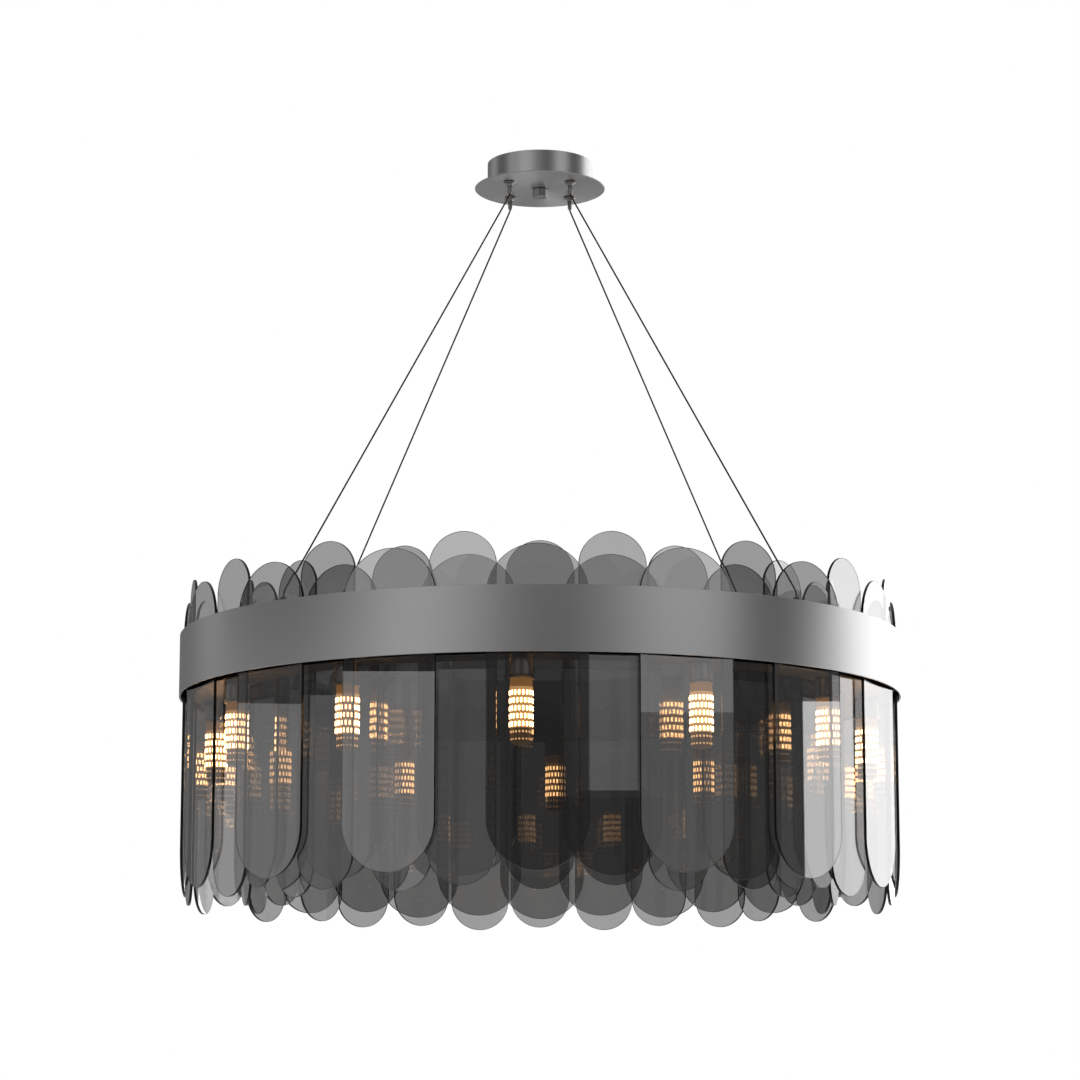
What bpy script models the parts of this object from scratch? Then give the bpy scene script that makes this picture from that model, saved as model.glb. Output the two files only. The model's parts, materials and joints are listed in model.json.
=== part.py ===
"""Round pendant chandelier with two rings of flat smoked-glass panes.

A steel lamp channel carries both glass rings and twelve screw-in LED bulbs. It hangs by four
wire cables from a canopy on the ceiling. Metres, +Z up. The origin is the middle of the
ceiling face, so everything hangs below it. Angles run from the front (-Y) towards +X.
"""
import math

import bmesh
import bpy
from mathutils import Matrix, Vector

MM = 0.001

# Clearances and tool overruns
FIT_GAP = 0.3 * MM
RUNNING_GAP = 0.4 * MM
CUT_OVERRUN = 2.0 * MM
MERGE_DISTANCE = 0.005 * MM
FUSE_DEPTH = 0.8 * MM

# Ceiling bracket with its welded stud
BRACKET_LENGTH = 100 * MM
BRACKET_WIDTH = 22 * MM
BRACKET_THICKNESS = 2 * MM
SCREW_SPACING = 70 * MM
SCREW_SLOT_LENGTH = 12 * MM
SCREW_SLOT_WIDTH = 5 * MM
STUD_RADIUS = 4 * MM

# Terminal block under the bracket
BLOCK_LENGTH = 30 * MM
BLOCK_WIDTH = 16 * MM
BLOCK_HEIGHT = 14 * MM
BLOCK_BEVEL = 1 * MM
BLOCK_FROM_STUD = 6 * MM

# Canopy cup, round plate and cap nut
CANOPY_RADIUS = 60 * MM
CANOPY_HEIGHT = 28 * MM
CANOPY_WALL = 1.2 * MM
PLATE_RADIUS = 74.5 * MM
PLATE_THICKNESS = 1.5 * MM
PLATE_EDGE_BEVEL = 0.4 * MM
CAP_NUT_RADIUS = 8.5 * MM
CAP_NUT_HEIGHT = 9 * MM
CAP_NUT_CROWN = 1 * MM

# Cable grips in the plate, and their release nozzles
GRIP_CIRCLE_RADIUS = 47.4 * MM
GRIP_SHANK_RADIUS = 3.5 * MM
GRIP_NUT_RADIUS = 5.5 * MM
GRIP_NUT_HEIGHT = 4 * MM
GRIP_FLANGE_RADIUS = 6.5 * MM
GRIP_FLANGE_HEIGHT = 2 * MM
GRIP_BODY_TOP_RADIUS = 5 * MM
GRIP_BODY_LOW_RADIUS = 3.5 * MM
GRIP_BODY_HEIGHT = 4 * MM
NOZZLE_RADIUS = 2.4 * MM
NOZZLE_REACH = 8 * MM
NOZZLE_TRAVEL = 2.5 * MM
NOZZLE_GUIDE = 2.7 * MM

# Cables and the anchors at their lower ends
CABLE_ANGLE = math.radians(46.5)
CABLE_RADIUS = 0.9 * MM
CABLE_SPARE = 8 * MM
CABLE_EXIT_RUN = 1.5 * MM
CABLE_BEND_RUN = 6 * MM
ANCHOR_FROM_LAMPS = 7 * MM
ANCHOR_STEM_RADIUS = 2.5 * MM
ANCHOR_HEAD_RADIUS = 4.5 * MM
ANCHOR_HEAD_HEIGHT = 3 * MM
ANCHOR_FERRULE_RADIUS = 3.5 * MM
ANCHOR_FERRULE_HEIGHT = 9 * MM

# Outer band, lamp channel and its cover
BAND_RADIUS = 400 * MM
BAND_WALL = 2 * MM
BAND_HEIGHT = 68 * MM
BAND_DROP = 552 * MM
CHANNEL_WIDTH = 45.5 * MM
CHANNEL_WALL = 1.5 * MM

# Glass panes and how they are held
PANE_THICKNESS = 3 * MM
WIDE_WIDTH = 103 * MM
WIDE_LENGTH = 328 * MM
NARROW_WIDTH = 70 * MM
NARROW_LENGTH = 356 * MM
PANE_CENTRE_BELOW_BAND = 121 * MM
PANE_PITCH = 75 * MM
PANE_TO_BAND = 5.5 * MM
PANE_TO_CHANNEL = 2.5 * MM
PANE_CORNER_GAP = 1 * MM
PANE_STAGGER = 4.5 * MM
PANE_STUD_RADIUS = 4 * MM
PANE_STUD_HEAD = 2 * MM
BUMPER_WIDTH = 8 * MM
BUMPER_HEIGHT = 12 * MM
OUTER_TURN = math.radians(-0.35)
INNER_TURN = 0.0

# Lamp holders and bulbs
LAMP_COUNT = 12
LAMP_TURN = math.radians(-3.0)
HOLDER_RADIUS = 14.2 * MM
HOLDER_REACH = 20 * MM
HOLDER_CAP = 3 * MM
HOLDER_DEPTH = 6 * MM
BULB_BASE_RADIUS = 7 * MM
BULB_BASE_LENGTH = 24 * MM
BULB_COLLAR_RADIUS = 14.2 * MM
BULB_COLLAR_HEIGHT = 7 * MM
BULB_RADIUS = 12.5 * MM
BULB_LENGTH = 69 * MM
BULB_CROWN = 5 * MM

# Facets of the turned and round pieces
RING_STEPS = 64
CANOPY_STEPS = 48
SMALL_STEPS = 16
ROUND_END_STEPS = 10
STUD_SIDES = 6
CROWN_STEPS = 3
CABLE_CORNER_STEPS = 3

# Places that follow from the sizes above
CANOPY_BOTTOM = -CANOPY_HEIGHT
PLATE_TOP = CANOPY_BOTTOM - FIT_GAP
PLATE_BOTTOM = PLATE_TOP - PLATE_THICKNESS
BAND_TOP = -BAND_DROP
BAND_BOTTOM = BAND_TOP - BAND_HEIGHT
BAND_MIDDLE = (BAND_TOP + BAND_BOTTOM) / 2
PANE_CENTRE = BAND_TOP - PANE_CENTRE_BELOW_BAND
BAND_INSIDE = (BAND_RADIUS - BAND_WALL) * math.cos(math.pi / RING_STEPS)
OUTER_WIDE_RADIUS = BAND_RADIUS - BAND_WALL - PANE_TO_BAND - PANE_THICKNESS / 2
OUTER_NARROW_RADIUS = OUTER_WIDE_RADIUS - PANE_STAGGER
CHANNEL_OUTER_RADIUS = OUTER_NARROW_RADIUS - PANE_THICKNESS / 2 - PANE_TO_CHANNEL
CHANNEL_INNER_RADIUS = CHANNEL_OUTER_RADIUS - CHANNEL_WIDTH
CHANNEL_INSIDE = CHANNEL_INNER_RADIUS * math.cos(math.pi / RING_STEPS)
INNER_CORNER_RADIUS = CHANNEL_INSIDE - PANE_CORNER_GAP
INNER_WIDE_RADIUS = math.sqrt(INNER_CORNER_RADIUS ** 2 - (WIDE_WIDTH / 2) ** 2) - PANE_THICKNESS / 2
INNER_NARROW_RADIUS = INNER_WIDE_RADIUS - PANE_STAGGER
LAMP_CIRCLE_RADIUS = CHANNEL_INNER_RADIUS + CHANNEL_WIDTH / 2
COVER_TOP = BAND_TOP
COVER_BOTTOM = COVER_TOP - CHANNEL_WALL
HOLDER_BOTTOM = BAND_BOTTOM - HOLDER_REACH
ANCHOR_CIRCLE_RADIUS = LAMP_CIRCLE_RADIUS + ANCHOR_FROM_LAMPS
CABLE_BORE = CABLE_RADIUS + RUNNING_GAP

FINISHES = {
    "brushed_steel": ((0.42, 0.42, 0.43, 1.0), 0.32, 1.0),
    "band_steel": ((0.36, 0.36, 0.37, 1.0), 0.38, 1.0),
    "dark_steel": ((0.09, 0.085, 0.08, 1.0), 0.42, 1.0),
    "cable_steel": ((0.10, 0.075, 0.06, 1.0), 0.35, 1.0),
    "smoked_glass": ((0.20, 0.21, 0.22, 1.0), 0.05, 0.0),
    "lit_bulb": ((1.0, 0.80, 0.52, 1.0), 0.25, 0.0),
    "white_plastic": ((0.80, 0.80, 0.78, 1.0), 0.5, 0.0),
}


def clear_scene():
    for item in list(bpy.data.objects):
        bpy.data.objects.remove(item, do_unlink=True)


def make_collection(name):
    group = bpy.data.collections.new(name)
    bpy.context.scene.collection.children.link(group)
    return group


def make_finish(name):
    """A Principled material with the colour, roughness and metallic value of the finish."""
    colour, roughness, metallic = FINISHES[name]
    material = bpy.data.materials.new(name)
    material.use_nodes = True
    shader = material.node_tree.nodes["Principled BSDF"]
    shader.inputs["Base Color"].default_value = colour
    shader.inputs["Roughness"].default_value = roughness
    shader.inputs["Metallic"].default_value = metallic
    return material


def add_object(name, mesh, finish=None, cutter=False):
    """Link a mesh as a named piece, or as a hidden cutter."""
    piece = bpy.data.objects.new(name, mesh)
    (CUTTERS if cutter else PIECES).objects.link(piece)
    if cutter:
        piece.hide_render = True
        piece.display_type = "WIRE"
    if finish:
        mesh.materials.clear()
        mesh.materials.append(MATERIALS[finish])
    return piece


def mesh_from(piece):
    """The evaluated mesh of an object, in the object's own frame."""
    graph = bpy.context.evaluated_depsgraph_get()
    return bpy.data.meshes.new_from_object(piece.evaluated_get(graph), depsgraph=graph)


def baked(piece):
    """Swap an object's live modifiers for their result and shade its curved sides smooth."""
    mesh = mesh_from(piece)
    piece.modifiers.clear()
    piece.data = mesh
    mesh.shade_smooth()
    mesh.set_sharp_from_angle(angle=math.radians(35))
    return piece


def turned(name, profile, steps, finish=None, closed=True, cutter=False):
    """Turn a profile of (radius, height) points about the Z axis."""
    mesh = bpy.data.meshes.new(name)
    form = bmesh.new()
    points = [form.verts.new((radius, 0.0, height)) for radius, height in profile]
    for first, second in zip(points, points[1:]):
        form.edges.new((first, second))
    if closed:
        form.edges.new((points[-1], points[0]))
    form.to_mesh(mesh)
    form.free()
    piece = add_object(name, mesh, finish, cutter)
    screw = piece.modifiers.new("turn", "SCREW")
    screw.steps = steps
    screw.render_steps = steps
    screw.use_merge_vertices = True
    screw.merge_threshold = MERGE_DISTANCE
    screw.use_smooth_shade = True
    return baked(piece)


def solid(name, build, finish=None, cutter=False):
    """A mesh object filled by a function that adds primitives to a bmesh."""
    mesh = bpy.data.meshes.new(name)
    form = bmesh.new()
    build(form)
    bmesh.ops.recalc_face_normals(form, faces=form.faces)
    form.to_mesh(mesh)
    form.free()
    return add_object(name, mesh, finish, cutter)


def add_box(form, low, high, turn=0.0):
    """Add a box between two corners, then turn it about the Z axis."""
    size = [top - bottom for bottom, top in zip(low, high)]
    middle = [(top + bottom) / 2 for bottom, top in zip(low, high)]
    place = Matrix.Rotation(turn, 4, "Z") @ Matrix.Translation(middle) @ Matrix.Diagonal((*size, 1))
    bmesh.ops.create_cube(form, size=1.0, matrix=place)


def add_stadium(form, width, length, thickness, place):
    """Add a plate with round ends, its length along Y and its thickness along Z, then place it."""
    half = width / 2
    straight = length / 2 - half
    outline = []
    for centre, start in ((straight, 0.0), (-straight, math.pi)):
        for step in range(ROUND_END_STEPS + 1):
            turn = start + math.pi * step / ROUND_END_STEPS
            outline.append((half * math.cos(turn), centre + half * math.sin(turn)))
    faces = []
    for height in (-thickness / 2, thickness / 2):
        corners = [form.verts.new(place @ Vector((x, y, height))) for x, y in outline]
        form.faces.new(corners)
        faces.append(corners)
    low, high = faces
    for index, corner in enumerate(low):
        form.faces.new((low[index - 1], corner, high[index], high[index - 1]))


def add_rod(form, radius, sides, near, far, place):
    """Add a rod along a frame's Y axis, between two distances, before the frame is placed."""
    lie_down = Matrix.Rotation(math.radians(90), 4, "X")
    middle = Matrix.Translation((0.0, (near + far) / 2, 0.0))
    bmesh.ops.create_cone(form, cap_ends=True, segments=sides, radius1=radius, radius2=radius,
                          depth=abs(far - near), matrix=place @ middle @ lie_down)


def combine(piece, other, operation):
    """Join another solid to a piece or cut it out, and drop the other one."""
    step = piece.modifiers.new("join", "BOOLEAN")
    step.operation = operation
    step.solver = "EXACT"
    step.object = other
    bpy.context.view_layer.update()
    finishes = list(piece.data.materials)
    mesh = mesh_from(piece)
    piece.modifiers.clear()
    piece.data = mesh
    mesh.materials.clear()
    for finish in finishes:
        mesh.materials.append(finish)
    bpy.data.objects.remove(other, do_unlink=True)
    return piece


def crown(radius, height, base):
    """Profile points of a rounded end that closes on the axis, from the rim to the tip."""
    points = []
    for step in range(1, CROWN_STEPS + 1):
        angle = math.radians(90) * step / CROWN_STEPS
        points.append((radius * math.cos(angle), base - height * math.sin(angle)))
    points[-1] = (0.0, base - height)
    return points


def around(angle, radius, height=0.0):
    """A point at an angle from the front, on a circle about the Z axis."""
    return Vector((radius * math.sin(angle), -radius * math.cos(angle), height))


def make_bracket():
    """Flat steel bar screwed to the ceiling, with a stud that carries the canopy plate."""
    def bar(form):
        add_box(form, (-BRACKET_LENGTH / 2, -BRACKET_WIDTH / 2, -BRACKET_THICKNESS),
                (BRACKET_LENGTH / 2, BRACKET_WIDTH / 2, 0.0))

    def slots(form):
        for side in (-1, 1):
            place = Matrix.Translation((side * SCREW_SPACING / 2, 0.0, -BRACKET_THICKNESS / 2))
            add_stadium(form, SCREW_SLOT_WIDTH, SCREW_SLOT_LENGTH, BRACKET_THICKNESS + 2 * CUT_OVERRUN,
                        place @ Matrix.Rotation(math.radians(90), 4, "Z"))

    bracket = solid("ceiling_bracket", bar, "dark_steel")
    combine(bracket, solid("bracket_slots", slots, cutter=True), "DIFFERENCE")
    stud_end = PLATE_BOTTOM - CAP_NUT_HEIGHT / 2
    stud = turned("bracket_stud",
                  [(0.0, -BRACKET_THICKNESS + FUSE_DEPTH), (STUD_RADIUS, -BRACKET_THICKNESS + FUSE_DEPTH),
                   (STUD_RADIUS, stud_end), (0.0, stud_end)], SMALL_STEPS, closed=False)
    combine(bracket, stud, "UNION")


def make_terminal_block():
    """Plastic block under the bracket where the house wires end."""
    start = STUD_RADIUS + BLOCK_FROM_STUD

    def block(form):
        add_box(form, (start, -BLOCK_WIDTH / 2, -BRACKET_THICKNESS - FIT_GAP - BLOCK_HEIGHT),
                (start + BLOCK_LENGTH, BLOCK_WIDTH / 2, -BRACKET_THICKNESS - FIT_GAP))

    piece = solid("terminal_block", block, "white_plastic")
    bevel = piece.modifiers.new("edges", "BEVEL")
    bevel.width = BLOCK_BEVEL
    bevel.segments = 1
    baked(piece)


def make_canopy():
    """The cup against the ceiling, the wider plate under it and the cap nut that holds them."""
    inside = CANOPY_RADIUS - CANOPY_WALL
    turned("canopy_cup",
           [(CANOPY_RADIUS, 0.0), (CANOPY_RADIUS, CANOPY_BOTTOM), (inside, CANOPY_BOTTOM), (inside, 0.0)],
           CANOPY_STEPS, "brushed_steel")
    hole = STUD_RADIUS + FIT_GAP
    rim = PLATE_RADIUS - PLATE_EDGE_BEVEL
    plate = turned("canopy_plate",
                   [(rim, PLATE_TOP), (PLATE_RADIUS, PLATE_TOP - PLATE_EDGE_BEVEL),
                    (PLATE_RADIUS, PLATE_BOTTOM + PLATE_EDGE_BEVEL), (rim, PLATE_BOTTOM),
                    (hole, PLATE_BOTTOM), (hole, PLATE_TOP)], CANOPY_STEPS, "brushed_steel")

    def grip_holes(form):
        middle = PLATE_BOTTOM + PLATE_THICKNESS / 2
        for angle in CABLE_ANGLES.values():
            place = Matrix.Translation(around(angle, GRIP_CIRCLE_RADIUS, middle))
            bmesh.ops.create_cone(form, cap_ends=True, segments=SMALL_STEPS,
                                  radius1=GRIP_SHANK_RADIUS + RUNNING_GAP,
                                  radius2=GRIP_SHANK_RADIUS + RUNNING_GAP,
                                  depth=PLATE_THICKNESS + 2 * CUT_OVERRUN, matrix=place)

    combine(plate, solid("grip_holes", grip_holes, cutter=True), "DIFFERENCE")
    top = PLATE_BOTTOM - FIT_GAP
    shoulder = top - CAP_NUT_HEIGHT + CAP_NUT_CROWN
    bore = STUD_RADIUS + FIT_GAP
    bore_end = PLATE_BOTTOM - CAP_NUT_HEIGHT / 2 - FIT_GAP
    turned("cap_nut",
           [(bore, top), (CAP_NUT_RADIUS, top), (CAP_NUT_RADIUS, shoulder)]
           + crown(CAP_NUT_RADIUS, CAP_NUT_CROWN, shoulder)
           + [(0.0, bore_end), (bore, bore_end)],
           SMALL_STEPS, "brushed_steel")


def make_grip(side, angle):
    """Cable grip clamped in the plate, with its sliding release nozzle."""
    nut_bottom = PLATE_TOP + FIT_GAP
    nut_top = nut_bottom + GRIP_NUT_HEIGHT
    flange_top = PLATE_BOTTOM - FIT_GAP
    flange_bottom = flange_top - GRIP_FLANGE_HEIGHT
    body_bottom = flange_bottom - GRIP_BODY_HEIGHT
    guide_top = body_bottom + NOZZLE_GUIDE + NOZZLE_TRAVEL + FIT_GAP
    guide_radius = NOZZLE_RADIUS + RUNNING_GAP
    grip = turned("grip_" + side,
                  [(CABLE_BORE, nut_top), (GRIP_NUT_RADIUS, nut_top),
                   (GRIP_NUT_RADIUS, nut_bottom), (GRIP_SHANK_RADIUS, nut_bottom),
                   (GRIP_SHANK_RADIUS, flange_top), (GRIP_FLANGE_RADIUS, flange_top),
                   (GRIP_FLANGE_RADIUS, flange_bottom), (GRIP_BODY_TOP_RADIUS, flange_bottom),
                   (GRIP_BODY_LOW_RADIUS, body_bottom), (guide_radius, body_bottom),
                   (guide_radius, guide_top), (CABLE_BORE, guide_top)],
                  SMALL_STEPS, "brushed_steel")
    nozzle = turned("release_nozzle_" + side,
                    [(CABLE_BORE, NOZZLE_GUIDE), (NOZZLE_RADIUS, NOZZLE_GUIDE),
                     (NOZZLE_RADIUS, -NOZZLE_REACH), (CABLE_BORE, -NOZZLE_REACH)],
                    SMALL_STEPS, "brushed_steel")
    grip.location = around(angle, GRIP_CIRCLE_RADIUS)
    nozzle.location = around(angle, GRIP_CIRCLE_RADIUS, body_bottom)
    return body_bottom - NOZZLE_REACH


def rounded_path(corners, runs):
    """Points along straight runs, with each inner corner eased over its given run."""
    path = [corners[0]]
    for before, corner, after, run in zip(corners, corners[1:], corners[2:], runs):
        start = corner + (before - corner).normalized() * run
        end = corner + (after - corner).normalized() * run
        for step in range(CABLE_CORNER_STEPS + 1):
            share = step / CABLE_CORNER_STEPS
            path.append(start.lerp(corner, share).lerp(corner.lerp(end, share), share))
    path.append(corners[-1])
    return path


def make_cable(side, angle, exit_height):
    """Taut wire cable from inside the canopy to its anchor in the channel cover."""
    ferrule_bottom = COVER_TOP + FIT_GAP
    ferrule_top = ferrule_bottom + ANCHOR_FERRULE_HEIGHT
    corners = [around(angle, GRIP_CIRCLE_RADIUS, PLATE_TOP + GRIP_NUT_HEIGHT + CABLE_SPARE),
               around(angle, GRIP_CIRCLE_RADIUS, exit_height - CABLE_EXIT_RUN),
               around(angle, ANCHOR_CIRCLE_RADIUS, ferrule_top + CABLE_BEND_RUN),
               around(angle, ANCHOR_CIRCLE_RADIUS, ferrule_top - FUSE_DEPTH)]
    curve = bpy.data.curves.new("cable_" + side, "CURVE")
    curve.dimensions = "3D"
    curve.bevel_depth = CABLE_RADIUS
    curve.bevel_resolution = 2
    curve.use_fill_caps = True
    curve.resolution_u = 1
    curve.render_resolution_u = 0
    path = rounded_path(corners, (CABLE_EXIT_RUN, CABLE_BEND_RUN))
    spline = curve.splines.new("POLY")
    spline.points.add(len(path) - 1)
    for point, place in zip(spline.points, path):
        point.co = (*place, 1.0)
    guide = bpy.data.objects.new("cable_guide_" + side, curve)
    PIECES.objects.link(guide)
    bpy.context.view_layer.update()
    mesh = mesh_from(guide)
    bpy.data.objects.remove(guide, do_unlink=True)
    form = bmesh.new()
    form.from_mesh(mesh)
    bmesh.ops.remove_doubles(form, verts=form.verts, dist=MERGE_DISTANCE)
    bmesh.ops.recalc_face_normals(form, faces=form.faces)
    form.to_mesh(mesh)
    form.free()
    cable = add_object("cable_" + side, mesh, "cable_steel")
    head_top = COVER_BOTTOM - FIT_GAP
    anchor = turned("anchor_" + side,
                    [(0.0, ferrule_top), (ANCHOR_FERRULE_RADIUS, ferrule_top),
                     (ANCHOR_FERRULE_RADIUS, ferrule_bottom), (ANCHOR_STEM_RADIUS, ferrule_bottom),
                     (ANCHOR_STEM_RADIUS, head_top), (ANCHOR_HEAD_RADIUS, head_top),
                     (ANCHOR_HEAD_RADIUS, head_top - ANCHOR_HEAD_HEIGHT),
                     (0.0, head_top - ANCHOR_HEAD_HEIGHT)], SMALL_STEPS, closed=False)
    anchor.location = around(angle, ANCHOR_CIRCLE_RADIUS)
    bpy.context.view_layer.update()
    combine(cable, anchor, "UNION")


def make_band():
    """Plain steel band round the outside of the glass."""
    inside = BAND_RADIUS - BAND_WALL
    turned("outer_band",
           [(BAND_RADIUS, BAND_TOP), (BAND_RADIUS, BAND_BOTTOM), (inside, BAND_BOTTOM), (inside, BAND_TOP)],
           RING_STEPS, "band_steel")


def lamp_angles():
    return [LAMP_TURN + math.tau * index / LAMP_COUNT for index in range(LAMP_COUNT)]


def make_channel():
    """U-shaped ring that carries the glass and the lamp holders."""
    outer, inner, wall = CHANNEL_OUTER_RADIUS, CHANNEL_INNER_RADIUS, CHANNEL_WALL
    top = COVER_BOTTOM - FIT_GAP
    floor = BAND_BOTTOM + wall
    channel = turned("lamp_channel",
                     [(outer, top), (outer, BAND_BOTTOM), (inner, BAND_BOTTOM), (inner, top),
                      (inner + wall, top), (inner + wall, floor), (outer - wall, floor),
                      (outer - wall, top)], RING_STEPS, "dark_steel")
    holder_top = BAND_BOTTOM + BULB_BASE_LENGTH - HOLDER_REACH + HOLDER_DEPTH

    def holders(form):
        for angle in lamp_angles():
            place = Matrix.Translation(around(angle, LAMP_CIRCLE_RADIUS, (holder_top + HOLDER_BOTTOM) / 2))
            bmesh.ops.create_cone(form, cap_ends=True, segments=SMALL_STEPS, radius1=HOLDER_RADIUS,
                                  radius2=HOLDER_RADIUS, depth=holder_top - HOLDER_BOTTOM, matrix=place)

    def bores(form):
        low = HOLDER_BOTTOM - CUT_OVERRUN
        high = holder_top - HOLDER_CAP
        for angle in lamp_angles():
            place = Matrix.Translation(around(angle, LAMP_CIRCLE_RADIUS, (low + high) / 2))
            bmesh.ops.create_cone(form, cap_ends=True, segments=SMALL_STEPS,
                                  radius1=BULB_BASE_RADIUS + RUNNING_GAP,
                                  radius2=BULB_BASE_RADIUS + RUNNING_GAP,
                                  depth=high - low, matrix=place)

    combine(channel, solid("holders", holders), "UNION")
    combine(channel, solid("holder_bores", bores, cutter=True), "DIFFERENCE")


def make_cover():
    """Flat ring that closes the channel and takes the cable anchors."""
    cover = turned("channel_cover",
                   [(CHANNEL_OUTER_RADIUS, COVER_TOP), (CHANNEL_OUTER_RADIUS, COVER_BOTTOM),
                    (CHANNEL_INNER_RADIUS, COVER_BOTTOM), (CHANNEL_INNER_RADIUS, COVER_TOP)],
                   RING_STEPS, "dark_steel")

    def anchor_holes(form):
        for angle in CABLE_ANGLES.values():
            middle = (COVER_TOP + COVER_BOTTOM) / 2
            place = Matrix.Translation(around(angle, ANCHOR_CIRCLE_RADIUS, middle))
            bmesh.ops.create_cone(form, cap_ends=True, segments=SMALL_STEPS,
                                  radius1=ANCHOR_STEM_RADIUS + RUNNING_GAP,
                                  radius2=ANCHOR_STEM_RADIUS + RUNNING_GAP,
                                  depth=CHANNEL_WALL + 2 * CUT_OVERRUN, matrix=place)

    combine(cover, solid("anchor_holes", anchor_holes, cutter=True), "DIFFERENCE")


def make_bulbs():
    """Twelve screw-in LED bulbs. Each turns in its holder about its own upright axis."""
    shoulder = -FIT_GAP
    collar_bottom = shoulder - BULB_COLLAR_HEIGHT
    crown_base = shoulder - BULB_LENGTH + BULB_CROWN
    profile = [(0.0, BULB_BASE_LENGTH), (BULB_BASE_RADIUS, BULB_BASE_LENGTH), (BULB_BASE_RADIUS, shoulder),
               (BULB_COLLAR_RADIUS, shoulder), (BULB_COLLAR_RADIUS, collar_bottom),
               (BULB_RADIUS, collar_bottom), (BULB_RADIUS, crown_base)]
    profile += crown(BULB_RADIUS, BULB_CROWN, crown_base)
    for number, angle in enumerate(lamp_angles(), start=1):
        bulb = turned("led_bulb_%02d" % number, profile, SMALL_STEPS, "lit_bulb", closed=False)
        bulb.location = around(angle, LAMP_CIRCLE_RADIUS, HOLDER_BOTTOM)


def add_pane(name, width, length, radius, angle):
    """A flat pane with round ends, standing square to the radius at its angle."""
    stand = Matrix.Rotation(math.radians(90), 4, "X")
    move = Matrix.Translation((0.0, -radius, PANE_CENTRE))

    def pane(form):
        add_stadium(form, width, length, PANE_THICKNESS, Matrix.Rotation(angle, 4, "Z") @ move @ stand)

    return solid(name, pane, "smoked_glass")


def chain_of_panes(name, first, ring, angle):
    """One or more wide and narrow panes in a row, each pair held apart by a clear bumper."""
    wide_radius, narrow_radius, step, stud_near, stud_far, panes = ring
    chain = None
    for index in range(panes):
        wide = (first + index) % 2 == 0
        width, length = (WIDE_WIDTH, WIDE_LENGTH) if wide else (NARROW_WIDTH, NARROW_LENGTH)
        radius = wide_radius if wide else narrow_radius
        turn = index * step
        pane = add_pane(name, width, length, radius, turn)
        chain = combine(chain, pane, "UNION") if chain else pane

        def stud(form):
            add_rod(form, PANE_STUD_RADIUS, STUD_SIDES, -stud_near, -stud_far,
                    Matrix.Rotation(turn, 4, "Z") @ Matrix.Translation((0.0, 0.0, BAND_MIDDLE)))

        combine(chain, solid("stud", stud), "UNION")
        if index == 0:
            continue
        wide_turn, side = (turn, -1) if wide else (turn - step, 1)
        narrow_edge = narrow_radius * math.sin(step) - NARROW_WIDTH / 2 * math.cos(step)
        across = (narrow_edge + WIDE_WIDTH / 2) / 2
        behind = (narrow_radius - across * math.sin(step)) / math.cos(step)

        def bumper(form):
            middle = side * across
            add_box(form, (middle - BUMPER_WIDTH / 2, -wide_radius, BAND_MIDDLE - BUMPER_HEIGHT / 2),
                    (middle + BUMPER_WIDTH / 2, -behind, BAND_MIDDLE + BUMPER_HEIGHT / 2), wide_turn)

        combine(chain, solid("bumper", bumper), "UNION")
    chain.rotation_euler.z = angle
    return chain


def pane_count(radius):
    """The even number of panes that fits a ring at the chosen pitch."""
    return 2 * round(math.tau * radius / PANE_PITCH / 2)


def make_glass_ring(name, digits, panes_per_node, wide_radius, narrow_radius, stud_near, stud_far, turn):
    """A ring of alternating wide and narrow panes, split into short chains."""
    count = pane_count(wide_radius)
    step = math.tau / count
    shared = {}
    for number, first in enumerate(range(0, count, panes_per_node), start=1):
        label = name + "_" + str(number).zfill(digits)
        panes = min(panes_per_node, count - first)
        angle = turn + first * step
        if panes in shared:
            copy = add_object(label, shared[panes].data)
            copy.rotation_euler.z = angle
        else:
            ring = (wide_radius, narrow_radius, step, stud_near, stud_far, panes)
            shared[panes] = chain_of_panes(label, first, ring, angle)


def make_outer_glass():
    stud_end = math.sqrt((BAND_INSIDE - FIT_GAP) ** 2 - PANE_STUD_RADIUS ** 2)
    make_glass_ring("outer_glass", 2, 2, OUTER_WIDE_RADIUS, OUTER_NARROW_RADIUS,
                    CHANNEL_OUTER_RADIUS + FIT_GAP, stud_end, OUTER_TURN)


def make_inner_glass():
    stud_start = math.sqrt((CHANNEL_INSIDE - FIT_GAP) ** 2 - PANE_STUD_RADIUS ** 2)
    stud_end = INNER_NARROW_RADIUS - PANE_THICKNESS / 2 - PANE_STUD_HEAD
    one_pitch = math.tau / pane_count(INNER_WIDE_RADIUS)
    make_glass_ring("inner_glass", 1, 4, INNER_WIDE_RADIUS, INNER_NARROW_RADIUS,
                    stud_end, stud_start, INNER_TURN + one_pitch)


CABLE_ANGLES = {
    "front_right": CABLE_ANGLE,
    "back_right": math.pi - CABLE_ANGLE,
    "back_left": math.pi + CABLE_ANGLE,
    "front_left": -CABLE_ANGLE,
}

clear_scene()
PIECES = make_collection("glass_chandelier")
CUTTERS = make_collection("cutters")
MATERIALS = {name: make_finish(name) for name in FINISHES}

make_bracket()
make_terminal_block()
make_canopy()
for cable_side, cable_angle in CABLE_ANGLES.items():
    nozzle_end = make_grip(cable_side, cable_angle)
    make_cable(cable_side, cable_angle, nozzle_end)
make_band()
make_channel()
make_cover()
make_bulbs()
make_outer_glass()
make_inner_glass()
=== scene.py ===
"""Round pendant chandelier: two rings of smoked-glass panes, a steel band and small LED bulbs.

Every piece is modelled in metres in the frame of the packed part. The origin is the middle of
the ceiling face, +Z is up, and angles run from the front (-Y) towards +X.
"""
import json
import math

import bmesh
import bpy
from mathutils import Matrix, Vector


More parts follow.
